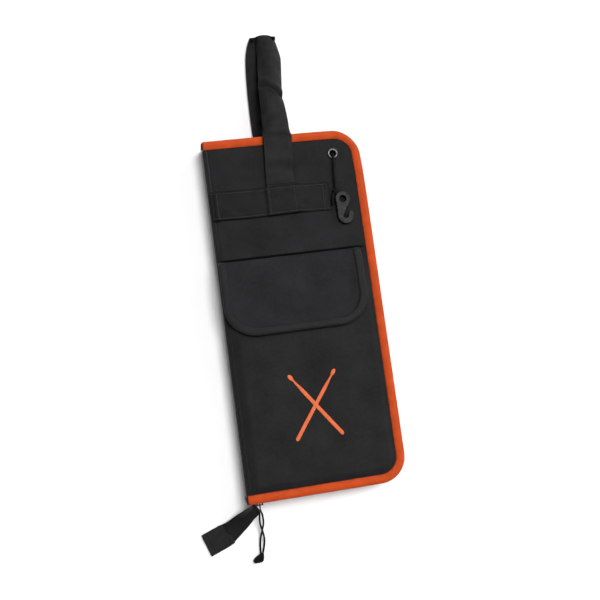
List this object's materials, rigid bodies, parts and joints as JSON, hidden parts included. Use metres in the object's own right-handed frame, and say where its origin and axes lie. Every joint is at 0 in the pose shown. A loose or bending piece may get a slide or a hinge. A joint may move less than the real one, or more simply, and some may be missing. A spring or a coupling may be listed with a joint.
{
  "type": "drum stick bag",
  "caption": "Padded zip case for drum sticks with orange edge binding, webbing loop handle, flap pocket and tom hooks on elastic cords, lying closed.",
  "frame": {"origin": "middle of the back panel's outer face; the bag lies closed on its back", "axes": "+X from the spine to the opening side, +Y from the bottom edge to the handle, +Z out of the front panel"},
  "size_m": [0.2721, 0.7027, 0.0465],
  "materials": {
    "shell_fabric": "woven coated nylon, matt",
    "foam": "closed-cell foam, matt",
    "lining": "smooth nylon lining",
    "orange_binding": "ribbed grosgrain tape",
    "black_binding": "ribbed grosgrain tape",
    "webbing": "ribbed webbing, slight sheen",
    "zip_tape": "knitted zip tape",
    "zip_coil": "moulded nylon coil",
    "eyelet_metal": "bright nickel",
    "cord": "braided cord",
    "hook_plastic": "moulded nylon, satin",
    "slider_metal": "black lacquer",
    "print_ink": "screen print",
    "touch_fastener": "hook and loop tape"
  },
  "bodies": {
    "back": {"back_shell": "shell_fabric", "back_foam": "foam", "back_lining": "lining", "back_binding": "orange_binding", "back_zip_tape": "zip_tape", "back_zip_coil": "zip_coil", "back_webbing_band": "webbing", "back_eyelet": "eyelet_metal", "back_eyelet_washer": "eyelet_metal", "stick_pocket_face": "lining", "stick_pocket_divider": "lining", "stick_pocket_binding": "black_binding", "zip_tail_tape": "zip_tape", "zip_end_tab": "black_binding", "handle_back_leg": "webbing"},
    "spine": {"spine_shell": "shell_fabric", "spine_foam": "foam", "spine_lining": "lining", "handle_loop": "webbing"},
    "cover": {"front_shell": "shell_fabric", "front_foam": "foam", "front_lining": "lining", "front_binding": "orange_binding", "front_zip_tape": "zip_tape", "front_zip_coil": "zip_coil", "front_webbing_band": "webbing", "front_eyelet": "eyelet_metal", "front_eyelet_washer": "eyelet_metal", "accessory_pocket_face": "shell_fabric", "pocket_loop_strip": "touch_fastener", "printed_motif": "print_ink", "flap_seam_strip": "shell_fabric", "handle_front_leg": "webbing"},
    "flap": {"pocket_flap": "shell_fabric", "flap_binding": "black_binding", "flap_hook_strip": "touch_fastener"},
    "front_hook": {"front_elastic_cord": "cord", "front_stop_knot": "cord", "front_ring_knot": "cord", "front_tom_hook": "hook_plastic"},
    "back_hook": {"back_elastic_cord": "cord", "back_stop_knot": "cord", "back_ring_knot": "cord", "back_tom_hook": "hook_plastic"},
    "slider": {"zip_slider": "slider_metal"},
    "pull": {"zip_pull_tab": "slider_metal", "zip_pull_cord_a": "cord", "zip_pull_cord_b": "cord", "zip_pull_knot": "cord"}
  },
  "joints": [
    {"name": "spine_fold", "type": "hinge", "parent": "back", "child": "spine", "pos_m": [-0.105, 0, 0], "axis": [0, -1, 0], "range_deg": [0, 87]},
    {"name": "cover_fold", "type": "hinge", "parent": "spine", "child": "cover", "pos_m": [-0.105, 0, 0.032], "axis": [0, -1, 0], "range_deg": [0, 87]},
    {"name": "flap_lift", "type": "hinge", "parent": "cover", "child": "flap", "pos_m": [-0.007, 0.074, 0.0391], "axis": [-1, 0, 0], "range_deg": [0, 165]},
    {"name": "front_hook_swing", "type": "hinge", "parent": "cover", "child": "front_hook", "pos_m": [0.0668, 0.2035, 0.032], "axis": [0, 0, 1], "range_deg": [-20, 90]},
    {"name": "back_hook_swing", "type": "hinge", "parent": "back", "child": "back_hook", "pos_m": [0.0668, 0.2035, 0], "axis": [0, 0, 1], "range_deg": [-20, 90]},
    {"name": "slider_travel", "type": "slide", "parent": "back", "child": "slider", "axis": [1, 0, 0], "range_m": [0, 0.145]},
    {"name": "pull_swing", "type": "hinge", "parent": "slider", "child": "pull", "pos_m": [-0.089, -0.2385, 0.016], "axis": [0, 0, 1], "range_deg": [-15, 75]}
  ],
  "couplings": [
    {"joint": "cover_fold", "follows": "spine_fold", "ratio": 1}
  ]
}
